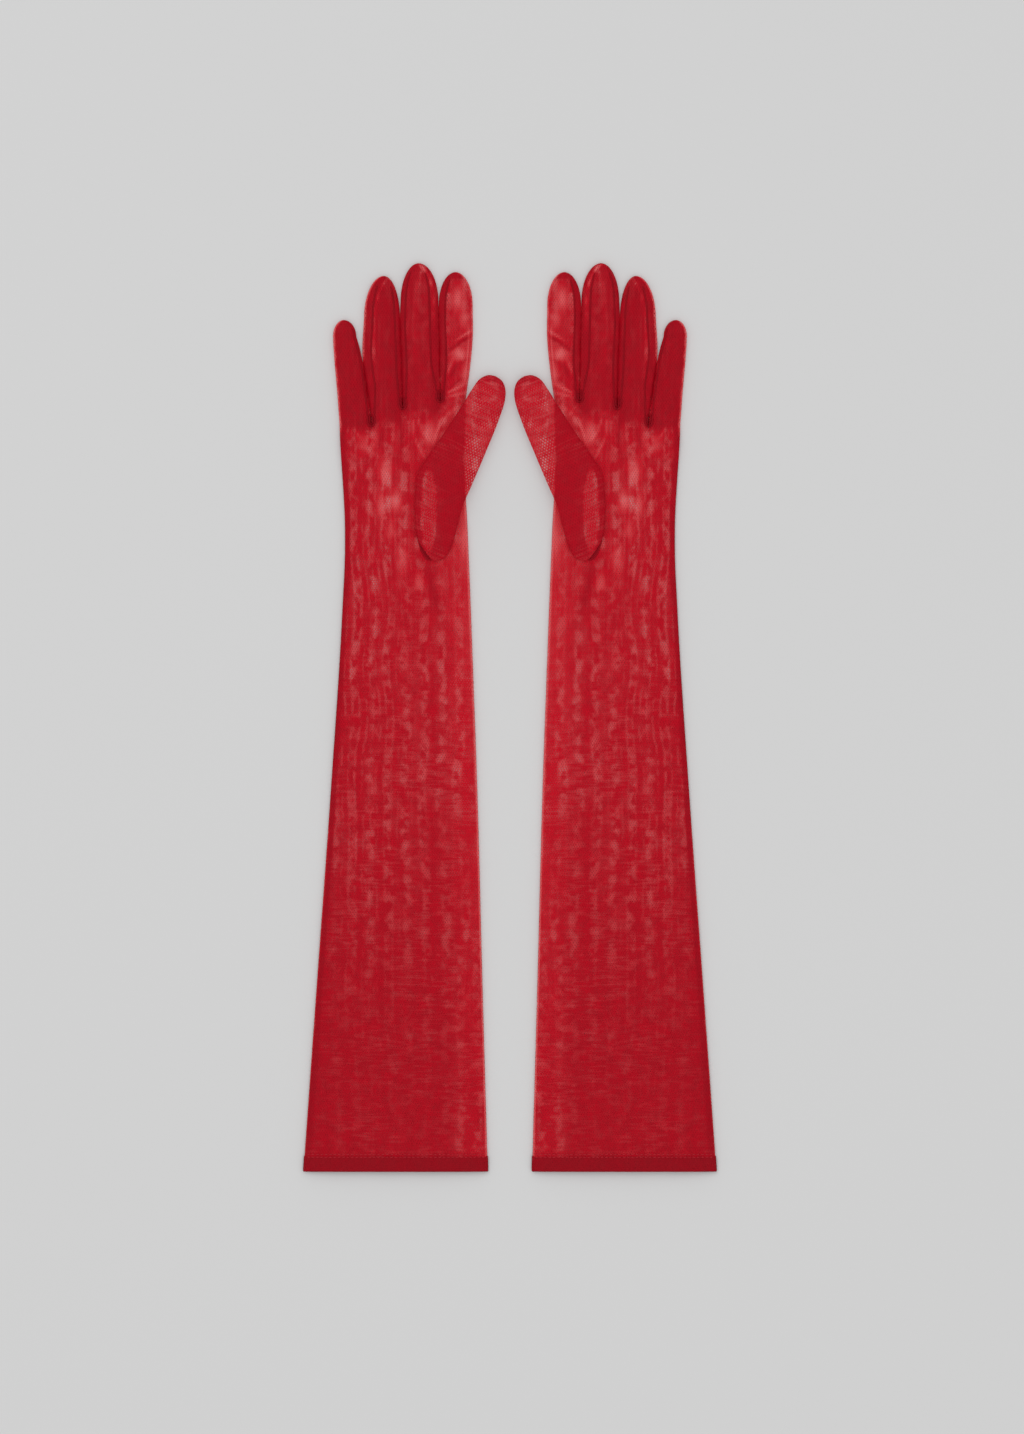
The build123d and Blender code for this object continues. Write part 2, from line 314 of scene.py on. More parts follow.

# ---------------------------------------------------------------- shape of the cloth

# Creases in the palm layer: from, to, width, height, and how much lighter the mesh is there. Above
# 0 it is more see-through with a painted highlight along the crease; below 0 it is closer with
# painted shade.
CREASES = [
    ((4.1, 189.6), (4.6, 177.0), 0.9, 0.5, 0.6), ((4.6, 177.0), (11.5, 162.8), 1.0, 0.5, 0.6),
    ((6.9, 189.6), (9.0, 181.0), 0.8, 0.5, 0.6), ((9.0, 181.0), (15.0, 174.0), 1.0, 0.5, 0.5),
    ((22.0, 189.6), (17.1, 172.9), 1.0, 0.5, 0.6), ((26.0, 191.5), (20.0, 181.5), 0.9, 0.4, 0.4),
    ((37.0, 198.5), (29.1, 185.3), 0.9, 0.7, 1.0), ((29.1, 185.3), (21.0, 173.5), 1.0, 0.6, 0.7),
    ((35.0, 197.5), (25.0, 190.5), 0.9, 0.5, 0.5), ((1.0, 191.0), (13.0, 192.6), 0.8, 0.3, 0.4),
    ((-33.0, 182.5), (-29.5, 176.0), 0.8, 0.4, 0.6),
    ((-36.5, 184.0), (-34.0, 176.0), 0.8, 0.4, 0.5),
    ((-22.0, 182.0), (-24.5, 168.0), 1.0, 0.4, -0.4),
    ((-14.0, 185.0), (-18.0, 168.0), 1.0, 0.4, -0.35),
    ((-4.0, 190.0), (-3.0, 165.0), 1.1, 0.4, -0.35), ((12.0, 100.0), (20.0, 62.0), 3.0, 0.4, -0.35),
    ((-12.0, 150.0), (-16.0, 100.0), 2.4, 0.4, 0.1), ((2.0, 130.0), (0.0, 85.0), 2.2, 0.4, 0.1),
    ((-24.0, 140.0), (-27.0, 84.0), 2.2, 0.4, 0.1),
]
# The index finger's creases, in the same columns, with the same painted highlight and shade.
INDEX_CREASES = [
    ((25.0, 230.5), (33.7, 236.0), 1.0, 0.8, -0.6), ((33.7, 236.0), (41.0, 241.0), 1.0, 0.8, -0.6),
    ((31.0, 237.6), (41.0, 244.0), 0.8, 0.5, 0.8), ((26.5, 213.0), (31.5, 222.0), 1.0, 0.5, -0.5),
    ((31.5, 222.0), (38.0, 226.0), 1.0, 0.5, -0.4), ((23.5, 203.5), (36.5, 210.0), 0.8, 0.5, 0.7),
    ((24.0, 201.5), (37.2, 204.6), 0.8, 0.5, 0.6), ((26.0, 206.5), (35.0, 214.0), 0.9, 0.5, -0.5),
    ((25.5, 216.0), (29.0, 226.0), 0.9, 0.4, 0.6),
]

# Stretched places where the mesh is most open and its yarn painted lighter, a painted glow of light
# coming through: centre, reach across and along, amount.
PALM_SPOTS = [
    ((14.3, 178.6), (4.0, 7.0), 0.8), ((-24.7, 172.9), (6.0, 6.0), 0.5),
    ((-13.5, 154.4), (4.0, 7.0), 0.8), ((-7.0, 135.9), (3.5, 6.0), 0.9),
    ((-16.3, 134.0), (2.5, 7.0), 0.7), ((34.0, 194.0), (4.0, 4.0), 0.7),
    ((-10.0, 118.0), (3.0, 7.0), 0.5), ((36.0, 112.0), (2.0, 12.0), 0.6),
    ((8.0, 84.0), (3.5, 7.0), 0.6), ((-3.0, 100.0), (3.0, 8.0), 0.6),
]
INDEX_SPOTS = [
    ((31.5, 205.0), (5.0, 4.5), 0.3), ((33.0, 229.0), (4.5, 4.5), 1.0),
    ((32.4, 264.0), (3.4, 7.0), 0.9), ((36.0, 250.0), (3.0, 5.5), 0.6),
    ((36.5, 217.0), (2.0, 6.0), 0.5),
]


def spot_light(u, y, spots):
    """How much more open the mesh is at a point for its stretched places, which also paints its
    yarn lighter there, a painted glow.
    """
    total = 0.0
    for (u0, y0), (across, along), amount in spots:
        away = ((u - u0) / across) ** 2 + ((y - y0) / along) ** 2
        if away < 6:
            total += amount * exp(-away)
    return total


def crease_lift(u, y, creases):
    """Height that creases add at a point, and how much more open they make the mesh there, which
    also paints its yarn: a painted highlight above 0, painted shade below.
    """
    height = 0.0
    thin_and_lit = 0.0
    for (u0, y0), (u1, y1), width, lift, light in creases:
        run = (u1 - u0, y1 - y0)
        span = run[0] ** 2 + run[1] ** 2
        t = min(max(((u - u0) * run[0] + (y - y0) * run[1]) / span, 0.0), 1.0)
        away = hypot(u - u0 - t * run[0], y - y0 - t * run[1])
        if away > 3 * width:
            continue
        fade = sin(pi * min(max(t, 0.04), 0.96)) ** 0.5
        ridge = exp(-((away / width) ** 2)) * fade
        height += lift * ridge
        thin_and_lit += light * ridge
    return height, thin_and_lit


def band_of(u):
    """The finger below whose root a point lies, and its place from -1 to 1 across it."""
    for i, name in enumerate(("little", "ring", "middle", "index")):
        if u <= BANDS[i + 1] or name == "index":
            r = (2 * u - BANDS[i] - BANDS[i + 1]) / (BANDS[i + 1] - BANDS[i])
            return name, min(max(r, -1.0), 1.0)


def bump(r, power=3.0):
    """Cross-section of a lightly filled tube: 1 in the middle, 0 at its side folds."""
    return sqrt(max(1 - abs(r) ** power, 0.0))


# How far along the glove neighbouring fingers part, from the outer side to the thumb side.
SPLITS = {"little": (170.0, 185.0), "ring": (185.0, 196.0), "middle": (196.0, 200.5),
          "index": (200.5, 170.0)}


def fingerlike(name, across, y):
    """0 where the cloth is one hand, 1 where a finger is a tube of its own."""
    left, right = (ease(y, split - 12, split + 3) for split in SPLITS[name])
    return left * (1 - across) / 2 + right * (1 + across) / 2


def palm_height(u, y, r, name=None, across=0.0):
    """Height of the palm layer, r being -1 to 1 across the sleeve or hand."""
    swell = 1 + 0.12 * noise_at(u, y, 60, 90, 3.1)
    wave = 0.55 * noise_at(u, y, 20, 48) + 0.22 * noise_at(u, y, 7, 22, 5.0)
    lift = crease_lift(u, y, CREASES)[0]
    crown = SLEEVE_RISE * swell * bump(r, 4) + (wave + lift) * bump(r, 2)
    if y > 150:
        if name is None:
            name, across = band_of(u)
        near = fingerlike(name, across, y)
        crown = crown * (1 - near) + (FINGER_RISE * bump(across) + lift * bump(across, 2)) * near
    return SIDE_Z + crown


def back_height(u, y, r):
    """Height of the back layer, which lies on the surface below."""
    flat = FLOOR_SINK * bump(r, 6) - 0.18 * (1 + noise_at(u, y, 24, 40, 9.0)) * bump(r, 2)
    if y > 150:
        name, across = band_of(u)
        near = ease(y, 152, ROOTS[name])
        flat = flat * (1 - near) + FLOOR_SINK * 0.92 * bump(across, 4) * near
    return SIDE_Z - flat


def edges_at(y):
    """The outer and the thumb-side edge of the sleeve and hand."""
    return curve(OUTER_EDGE, y), curve(INNER_EDGE, y)


def on_hand(u, y):
    """Place from -1 to 1 across the sleeve or hand."""
    outer, inner = edges_at(y)
    return 2 * (u - outer) / (inner - outer) - 1


def open_share(u, y, r, outer, inner):
    """How much more open (above 0) or closer (below 0) the sleeve's mesh is than usual; the same
    value paints its yarn lighter or darker, and the bright lines along its two folds are a painted
    highlight.
    """
    value = -0.30 + 0.32 * ease(y, -260, 100)
    value += 0.26 * ease(r, 0.50, 0.85)
    value -= 0.08 * ease(-r, 0.55, 0.95)
    value -= 0.30 * (1 - ease(u - outer, 2.6, 4.2))
    # A thin painted highlight, with a more see-through mesh, along the outer fold towards the hem
    # and along the thumb-side fold.
    value += 1.5 * (1 - ease(u - outer, 0.3, 1.0)) * (1 - ease(y, -120, -20))
    value += 1.1 * (1 - ease(inner - u, 0.5, 1.6))
    if y > 80:
        value += spot_light(u, y, PALM_SPOTS)
    if y > 170:
        name = band_of(u)[0]
        root = ROOTS[name]
        left, right, _ = finger_span(FINGERS[name], root)
        there = finger_open(name, u, root, left, right)
        value += (there - value) * ease(y, root - 9, root)
    return value


def column_shares():
    """Where the grid's columns lie across the hand, from 0 to 1, closest at the folds."""
    shares = []
    width = BANDS[-1] - BANDS[0]
    for low, high in zip(BANDS, BANDS[1:]):
        for step in range(COLUMNS):
            t = 2 * step / COLUMNS - 1
            t = 0.5 * t + 0.5 * sin(pi / 2 * t)
            shares.append((low + (high - low) * (t + 1) / 2 - BANDS[0]) / width)
    return shares + [1.0]


SHARES = column_shares()


def arm_rows(low, high, extra=(), pitch=HAND_ROW):
    """Rows along the glove between two places, with any extra ones that must be there."""
    count = max(int(round((high - low) / pitch)), 2)
    rows = set(np.linspace(low, high, count + 1).tolist()) | set(extra)
    return sorted(rows)


def round_tube(outer, inner):
    """Places round a tube, palm and then back: (across, -1 to 1 across it, is it the back)."""
    for share in SHARES:
        yield outer + (inner - outer) * share, 2 * share - 1, False
    for share in SHARES[-2:0:-1]:
        yield outer + (inner - outer) * share, 2 * share - 1, True


def arm_tube(name, side, rows, keep=None):
    """A stretch of the trank as one closed tube: palm layer, thumb-side fold, back layer."""
    grid = []
    for y in rows:
        outer, inner = edges_at(y)
        row = []
        for u, r, back in round_tube(outer, inner):
            value = open_share(u, y, r, outer, inner)
            if back:
                map_place = (2 * inner - u + BACK_SHIFT[0], y + BACK_SHIFT[1])
                row.append(((u, y, back_height(u, y, r)), map_place, value))
            else:
                value += crease_lift(u, y, CREASES)[1]
                row.append(((u, y, palm_height(u, y, r)), (u, y), value))
        map_place = (2 * inner - outer + BACK_SHIFT[0], y + BACK_SHIFT[1])
        row.append((row[0][0], map_place, row[0][2]))
        grid.append(row)
    return grid_piece(name, side, grid, closed=True, keep=keep)


def finger_span(finger, y):
    """The two sides of a finger at y, and how far from closed its tip is there."""
    tip_u, tip_y = finger["tip"]
    shoulder = tip_y - finger["round"]
    left = curve(finger["left"], min(y, shoulder))
    right = curve(finger["right"], min(y, shoulder))
    if y <= shoulder:
        return left, right, 1.0
    full = sqrt(max(1 - ((y - shoulder) / finger["round"]) ** 2, 0.0))
    return tip_u + (left - tip_u) * full, tip_u + (right - tip_u) * full, full


def finger_rows(name):
    """Rows from a finger's root to its tip, closer together round the tip."""
    finger = FINGERS[name]
    tip_y = finger["tip"][1]
    shoulder = tip_y - finger["round"]
    rows = arm_rows(ROOTS[name], shoulder)
    return rows + [shoulder + finger["round"] * sin(radians(a)) for a in range(7, 92, 7)]


def finger_height(name, layer, u, y, r, full):
    """Height of a finger's palm or back layer."""
    if layer == "back":
        return SIDE_Z - FLOOR_SINK * 0.92 * bump(r, 4) * full**0.5
    root = ROOTS[name]
    away = ease(y, root + 8, root + 20)
    wave = 0.35 * noise_at(u, y, 9, 20, 2.0) + 0.2 * noise_at(u, y, 4, 9, 6.0)
    lift = crease_lift(u, y, INDEX_CREASES)[0] if name == "index" else 0.0
    height = SIDE_Z + (FINGER_RISE * bump(r) + (wave + lift) * bump(r, 2)) * full**0.6
    if away == 1:
        return height
    across = min(max(on_hand(u, y), -1.0), 1.0)
    return palm_height(u, y, across, name, r) * (1 - away) + height * away


# How open each finger's mesh is between its seams, and beside its left and right folds, which also
# sets how light its yarn is painted: the values above 0 beside the folds paint a highlight along
# them.
FINGER_OPEN = {
    "little": (-0.44, 1.5, -0.45), "ring": (-0.36, 1.7, -0.42),
    "middle": (-0.33, -0.45, -0.36), "index": (0.0, -0.42, 1.0),
}
# How far in from each fold a finger's closer, doubled part reaches; its yarn is painted darker
# there too, a painted shade of the doubled cloth.
FINGER_DARK = {
    "little": (4.2, 15.0), "ring": (5.6, 11.0), "middle": (3.3, 5.9), "index": (4.3, 0.0),
}


def finger_open(name, u, y, left, right):
    """How much more open than usual the mesh of a finger is at a point; the same value paints its
    yarn lighter or darker, so the bright lines beside its folds and along its pleats are painted
    highlights.
    """
    centre, at_left, at_right = FINGER_OPEN[name]
    dark_left, dark_right = FINGER_DARK[name]
    tip = FINGERS[name]["tip"][1] - y
    closed = max(1 - ease(u - left, dark_left - 0.7, dark_left + 0.5),
                 1 - ease(right - u, dark_right - 0.7, dark_right + 0.5))
    closed = max(closed, 1 - ease(tip, 3.5, 6.0))
    value = centre + (-0.44 - centre) * closed
    broken = 0.7 + 0.5 * noise_at(u, y, 30, 4, 12.0)
    free = ease(y, 222, 230) if name in ("ring", "middle") else 1.0
    value += (at_left * broken - value) * (1 - ease(u - left, 0.5, 1.7)) * free
    value += (at_right * broken - value) * (1 - ease(right - u, 0.5, 1.7))
    # Bright pleat lines on the ring, middle and index fingers: a more see-through mesh with a
    # painted highlight.
    if name == "ring":
        value += 0.8 * broken * exp(-(((u - left - 7.0) / 0.7) ** 2)) * ease(y, 212, 232)
    if name == "middle":
        value += 1.2 * broken * exp(-(((right - u - 3.2) / 1.1) ** 2)) * ease(y, 238, 262)
        value += 0.5 * broken * exp(-(((u - left - 9.5) / 1.0) ** 2)) * ease(y, 215, 235)
    if name == "index":
        value += spot_light(u, y, INDEX_SPOTS)
        low_part = ease(y, 205, 215) * (1 - ease(y, 240, 250))
        value += 0.7 * exp(-(((right - u - 2.4) / 0.6) ** 2)) * low_part
    return value


def finger_layer(name, side, layer):
    """The palm or back panel of one finger."""
    shift = BACK_SHIFT if layer == "back" else (0, 0)
    grid = []
    for y in finger_rows(name):
        left, right, full = finger_span(FINGERS[name], y)
        row = []
        for step in range(COLUMNS + 1):
            t = 2 * step / COLUMNS - 1
            r = 0.5 * t + 0.5 * sin(pi / 2 * t)
            if layer == "back":
                r = -r
            u = (left + right) / 2 + (right - left) / 2 * r
            value = finger_open(name, u, y, left, right)
            if layer == "palm" and name == "index":
                value += crease_lift(u, y, INDEX_CREASES)[1]
            point = (u, y, finger_height(name, layer, u, y, r, full))
            row.append((point, (u + shift[0], y + shift[1]), value))
        grid.append(row)
    return grid_piece(f"{name}_{layer}_cloth", side, grid)


# How far a fourchette's seam lies in from the fold, how far its folded cloth reaches under
# the panels, and on which side of the finger.
FOURCHETTES = {
    "little_fourchette": ("little", "right", 1.6, 13.0),
    "ring_fourchette_little_side": ("ring", "left", 5.6, 5.4),
    "ring_fourchette_middle_side": ("ring", "right", 3.4, 11.5),
    "middle_fourchette_ring_side": ("middle", "left", 3.3, 5.2),
    "middle_fourchette_index_side": ("middle", "right", 5.7, 6.5),
    "index_fourchette": ("index", "left", 4.3, 5.0),
}
TIP_GAP = 7.0  # fourchettes end this far short of the fingertip


def seam_inset(name, edge, y, inset):
    """How far in from the fold a finger seam runs: close at the crotch, full further up."""
    split = SPLITS[name][0 if edge == "left" else 1]
    return CROTCH_HALF + (inset - CROTCH_HALF) * ease(y, split + 2, split + 26)


def fourchette_piece(label, side):
    """A folded strip inside one side of a finger: out to the fold and back in again."""
    name, edge, inset, reach = FOURCHETTES[label]
    finger = FINGERS[name]
    sign = 1 if edge == "left" else -1
    rows = [y for y in finger_rows(name) if y <= finger["tip"][1] - TIP_GAP]
    grid = []
    for y in rows:
        left, right, full = finger_span(finger, y)
        fold = left if edge == "left" else right
        middle = (left + right) / 2
        half = (right - left) / 2
        depth = min(reach, 2 * half - 2.5) * (0.35 + 0.65 * ease(y, ROOTS[name], ROOTS[name] + 14))
        row = []
        for step in range(17):
            t = step / 8 - 1
            inward = 0.5 + (depth - 0.5) * abs(t) ** 1.2
            u = fold + sign * inward
            r = min(max((u - middle) / half, -1), 1)
            top = finger_height(name, "palm", u, y, r, full) - 0.45
            low = finger_height(name, "back", u, y, r, full) + 0.3
            share = 0.5 + 0.5 * t * (0.55 + 0.35 * abs(t))
            row.append(((u, y, low + (top - low) * share), (t * depth * 1.1, y * 1.03), -0.1))
        grid.append(row)
    return grid_piece(f"{label}_cloth", side, grid)


def seam_path(name, edge, inset, end=5.0):
    """The line of a fourchette's seam on the palm side, from the crotch to near the tip."""
    finger = FINGERS[name]
    sign = 1 if edge == "left" else -1
    start = SPLITS[name][0 if edge == "left" else 1] + 5
    path = []
    for y in finger_rows(name):
        if y < start or y > finger["tip"][1] - end:
            continue
        left, right, full = finger_span(finger, y)
        inwards = sign * seam_inset(name, edge, y, inset) * full**0.7
        u = (left if edge == "left" else right) + inwards
        r = min(max((2 * u - left - right) / (right - left), -1), 1)
        path.append((u, y, finger_height(name, "palm", u, y, r, full) + 0.12))
    return path


CROTCHES = {
    "crotch_ring_little": (-22.4, "little", "ring", 186.4),
    "crotch_middle_ring": (-2.7, "ring", "middle", 197.2),
    "crotch_index_middle": (21.2, "middle", "index", 201.7),
}
CROTCH_HALF = 2.3


def top_height(u, y):
    """Height of the palm layer anywhere on the hand or the roots of the fingers."""
    name, across = band_of(u)
    if y >= ROOTS[name]:
        return finger_height(name, "palm", u, y, across, 1.0)
    return palm_height(u, y, on_hand(u, y))


def crotch_path(label, shrink=0.0, lift=0.25):
    """The U in which two fourchette seams meet."""
    u, _, _, low = CROTCHES[label]
    half = CROTCH_HALF - shrink
    path = [(u - half, low + 5), (u - half, low + 2.5)]
    for step in range(13):
        a = pi + pi * step / 12
        path.append((u + half * cos(a), low + half * sin(a) * 1.3))
    path += [(u + half, low + 2.5), (u + half, low + 5)]
    return [(across, along, top_height(across, along) + lift) for across, along in path]


# ---------------------------------------------------------------- thumb

THUMB_ANGLE = radians(22)
THUMB_AT = (19.3, 135.0)
# The thumb's two sides as (across, along) its own length, measured from THUMB_AT.
THUMB_LEFT = [
    (11.0, -35.0), (4.5, -31.5), (-4.0, -24.5), (-13.0, -6.0), (-18.3, 12.0), (-16.5, 25.0),
    (-11.9, 46.0), (-8.3, 65.0), (-6.6, 75.0), (-4.6, 82.5), (-0.6, 86.8), (4.0, 88.0),
]
THUMB_RIGHT = [
    (11.0, -35.0), (16.8, -31.0), (18.4, -22.0), (17.2, -8.0), (15.6, 4.0), (15.9, 20.0),
    (16.2, 40.0), (16.3, 60.0), (15.2, 76.0), (12.6, 83.0), (8.8, 86.8), (4.0, 88.0),
]
THUMB_RISE = 2.4
THUMB_BASE = THUMB_LEFT[0][1]  # where it starts and ends, along its length
THUMB_TIP = THUMB_LEFT[-1][1]
THUMB_TURN = 30.0  # and where its knuckle is


def thumb_edge(points, t):
    """A place on one side of the thumb, t from 0 at its base to 1 at its tip."""
    steps = np.array(points, float)
    runs = np.hypot(*np.diff(steps, axis=0).T) ** 0.5
    at = np.concatenate([[0], np.cumsum(runs)])
    at /= at[-1]
    i = int(np.clip(np.searchsorted(at, t) - 1, 0, len(at) - 2))
    slopes = np.gradient(steps, at, axis=0)
    span = at[i + 1] - at[i]
    s = min(max((t - at[i]) / span, 0), 1)
    return between(steps[i], steps[i + 1], slopes[i], slopes[i + 1], span, s)


@lru_cache(maxsize=None)
def side_table(points):
    """Many places down one side of the thumb."""
    return np.array([thumb_edge(points, t) for t in np.linspace(0, 1, 241)])


def side_curve(points, along):
    """Across place on one side of the thumb at a distance along it."""
    table = side_table(tuple(points))
    return float(np.interp(along, np.maximum.accumulate(table[:, 1]), table[:, 0]))


def thumb_to_plan(lateral, along):
    """From the thumb's own directions to the glove's plan."""
    u = THUMB_AT[0] + lateral * cos(THUMB_ANGLE) + along * sin(THUMB_ANGLE)
    y = THUMB_AT[1] - lateral * sin(THUMB_ANGLE) + along * cos(THUMB_ANGLE)
    return u, y


def thumb_floor(u, y, along):
    """Height that the thumb's under layer rests at: on the palm, and lower past its edge."""
    return 6.3 - 1.9 * ease(u, 30, 48) - 0.8 * ease(along, 60, THUMB_TIP)


def thumb_height(layer, u, y, r, along, full):
    """Height of the thumb's palm-side or under layer."""
    base = thumb_floor(u, y, along)
    if layer == "under":
        return base - 0.5 * bump(r, 4) * full
    wave = 0.3 * noise_at(u, y, 10, 14, 7.0) + 0.15 * noise_at(u, y, 4, 6, 8.0)
    sewn = ease(along, THUMB_BASE, THUMB_BASE + 15)
    return base + 0.3 + (THUMB_RISE * bump(r) * (0.45 + 0.55 * sewn) + wave * bump(r, 2)) * full


def thumb_rows(low, high):
    """Distances along the thumb between two places, closer together at its round ends."""
    rows = set(np.arange(low, high, HAND_ROW).tolist()) | {low, high}
    if low == THUMB_BASE:
        rows |= {THUMB_BASE + d for d in (0.15, 0.5, 1.0, 1.7, 2.6, 3.8)}
    if high == THUMB_TIP:
        rows |= {THUMB_TIP - d for d in (0.1, 0.4, 0.9, 1.6, 2.5, 3.6, 5.0)}
    return sorted(rows)


def thumb_layer(label, side, layer, low, high):
    """One layer of a stretch of the thumb."""
    grid = []
    for along in thumb_rows(low, high):
        left = side_curve(THUMB_LEFT, along)
        right = side_curve(THUMB_RIGHT, along)
        full = min(1.0, (right - left) / 18.0) ** 0.7
        row = []
        for step in range(31):
            t = step / 15 - 1
            r = 0.6 * t + 0.4 * sin(pi / 2 * t)
            if layer == "under":
                r = -r
            lateral = (left + right) / 2 + (right - left) / 2 * r
            u, y = thumb_to_plan(lateral, along)
            value = 0.14 + 0.2 * noise_at(u, y, 9, 5, 4.0) + 0.15 * noise_at(u, y, 3, 2, 14.0)
            value -= 0.45 * ease(along, 79, 87)
            # Where the thumb lies over the hand its mesh is set closer and its yarn painted darker,
            # a painted shade of the layers under it; the window over the hole is set lighter.
            inner = curve(INNER_EDGE, y)
            over = 1 - ease(u, inner - 0.8, inner + 0.8)
            value += (-0.46 - value) * over * (1 - ease(y, 196, 206))
            value += (0.09 - value) * (1 - ease(THUMB_WINDOW.reach(u, y), 0.9, 1.08))
            point = (u, y, thumb_height(layer, u, y, r, along, full))
            row.append((point, (lateral if layer == "palm" else -lateral, along), value))
        grid.append(row)
    return grid_piece(label, side, grid)


# ---------------------------------------------------------------- materials

class Finish:
    """A new material and short ways to add nodes to it."""

    def __init__(self, name):
        self.material = bpy.data.materials.new(name)
        self.material.use_nodes = True
        self.tree = self.material.node_tree
        self.shader = self.tree.nodes["Principled BSDF"]

    def node(self, kind, inputs, **settings):
        """A node with its settings, and inputs that are each a value or another's output."""
        node = self.tree.nodes.new(kind)
        for name, value in settings.items():
            setattr(node, name, value)
        for name, value in inputs.items():
            self.feed(node.inputs[name], value)
        return node

    def feed(self, socket, value):
        if isinstance(value, bpy.types.NodeSocket):
            self.tree.links.new(value, socket)
        else:
            socket.default_value = value

    def shade(self, **inputs):
        """Inputs of the shader, with _ for a space in their names."""
        for name, value in inputs.items():
            self.feed(self.shader.inputs[name.replace("_", " ")], value)

    def map(self, name):
        return self.node("ShaderNodeUVMap", {}, uv_map=name).outputs["UV"]

    def split(self, places):
        node = self.node("ShaderNodeSeparateXYZ", {0: places})
        return node.outputs[0], node.outputs[1]

    def maths(self, operation, a, b, clamp=False):
        inputs = {0: a, 1: b}
        return self.node("ShaderNodeMath", inputs, operation=operation, use_clamp=clamp).outputs[0]

    def add(self, a, b):
        return self.maths("ADD", a, b)

    def times(self, a, b):
        return self.maths("MULTIPLY", a, b)

    def less(self, a, b):
        return self.maths("SUBTRACT", a, b)

    def cosine(self, a, period):
        turns = {0: self.times(a, 2 * pi / period)}
        return self.node("ShaderNodeMath", turns, operation="COSINE").outputs[0]

    def noise(self, places, across, along, detail, seed):
        """Noise with a scale of its own across and along, turned so that it isn't square."""
        turned = self.node("ShaderNodeMapping", {
            "Vector": places, "Scale": (across, along, 1), "Rotation": (0, 0, 0.65),
            "Location": (seed, seed * 0.7, seed * 0.3),
        })
        inputs = {"Vector": turned.outputs[0], "Scale": 1.0, "Detail": detail}
        return self.node("ShaderNodeTexNoise", inputs).outputs["Fac"]

    def smooth(self, value, low, high, out_low=0.0, out_high=1.0):
        """A smooth step from one value to another."""
        inputs = {"Value": value, "From Min": low, "From Max": high,
                  "To Min": out_low, "To Max": out_high}
        step = self.node("ShaderNodeMapRange", inputs, interpolation_type="SMOOTHSTEP")
        return step.outputs["Result"]

    def mix(self, first, second, factor):
        """A colour between two."""
        inputs = {"A": first, "B": second, "Factor": factor}
        return self.node("ShaderNodeMix", inputs, data_type="RGBA").outputs["Result"]

    def bump(self, height, strength, distance):
        inputs = {"Height": height, "Strength": strength, "Distance": distance}
        self.shade(Normal=self.node("ShaderNodeBump", inputs).outputs[0])


